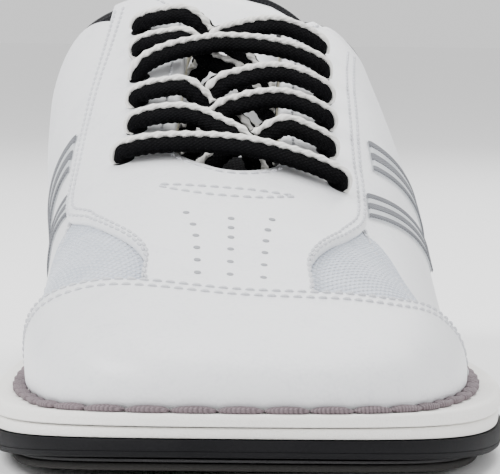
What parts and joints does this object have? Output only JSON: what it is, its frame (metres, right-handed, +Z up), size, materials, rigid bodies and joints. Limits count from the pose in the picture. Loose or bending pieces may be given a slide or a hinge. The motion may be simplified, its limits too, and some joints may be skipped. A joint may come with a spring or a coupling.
{
  "type": "bowling shoe",
  "caption": "Low white laced bowling shoe for the left foot, with mesh windows, perforated vamp, black laces, stitched pale welt and black slide sole",
  "frame": {"origin": "middle of the lowest face of the whole shoe's box, on the floor it stands on", "axes": "+Z up, toe points to -Y, inner side of the foot is -X, heel is +Y"},
  "size_m": [0.1125, 0.3073, 0.1014],
  "materials": {
    "white_leather": "smooth coated leather, low sheen",
    "white_mesh": "woven mesh, matt",
    "grey_trim": "satin synthetic",
    "black_lining": "knitted lining, matt",
    "pale_suede": "napped suede, matt",
    "black_rubber": "moulded, low sheen",
    "slide_suede": "microfibre suede, matt",
    "hook_fabric": "hook tape",
    "seam_thread": "twisted cord",
    "black_lace": "woven lace with a pale ridge",
    "foam": "open-cell foam",
    "footbed_foam": "fabric-topped foam",
    "board": "fibreboard",
    "backing": "bonded tape",
    "shank_steel": "plain",
    "aglet_plastic": "clear film over lace"
  },
  "bodies": {
    "root": {"slide_sole_pad": "slide_suede", "slide_sole_hook_sheet": "hook_fabric", "heel_brake_pad": "black_rubber", "heel_brake_hook_sheet": "hook_fabric", "heel_block": "black_rubber", "outsole": "black_rubber", "midsole": "pale_suede", "welt": "pale_suede", "bottom_filler": "foam", "shank": "shank_steel", "lasting_board": "board", "footbed": "footbed_foam", "welt_seam": "seam_thread", "toe_cap": "white_leather", "vamp_eyestay": "white_leather", "mesh_panel_medial": "white_mesh", "quarter_medial": "white_leather", "eyestay_backing_medial": "backing", "quarter_foam_medial": "foam", "quarter_lining_medial": "black_lining", "mesh_panel_lateral": "white_mesh", "quarter_lateral": "white_leather", "eyestay_backing_lateral": "backing", "quarter_foam_lateral": "foam", "quarter_lining_lateral": "black_lining", "toe_puff": "board", "vamp_foam": "foam", "vamp_lining": "black_lining", "heel_counter": "board", "collar_padding": "foam", "heel_lining": "black_lining", "heel_foxing": "white_leather", "heel_tab": "grey_trim", "side_stripe_medial_upper": "grey_trim", "side_stripe_medial_lower": "grey_trim", "side_stripe_lateral_upper": "grey_trim", "side_stripe_lateral_lower": "grey_trim", "lace": "black_lace", "aglet_a": "aglet_plastic", "aglet_b": "aglet_plastic"},
    "tongue_body": {"tongue": "white_leather", "tongue_foam": "foam", "tongue_lining": "black_lining", "tongue_label": "grey_trim"}
  },
  "joints": [
    {"name": "tongue_fold", "type": "hinge", "parent": "root", "child": "tongue_body", "pos_m": [-0.0042, -0.045, 0.0455], "axis": [-1, 0, 0], "range_deg": [0, 10]}
  ]
}
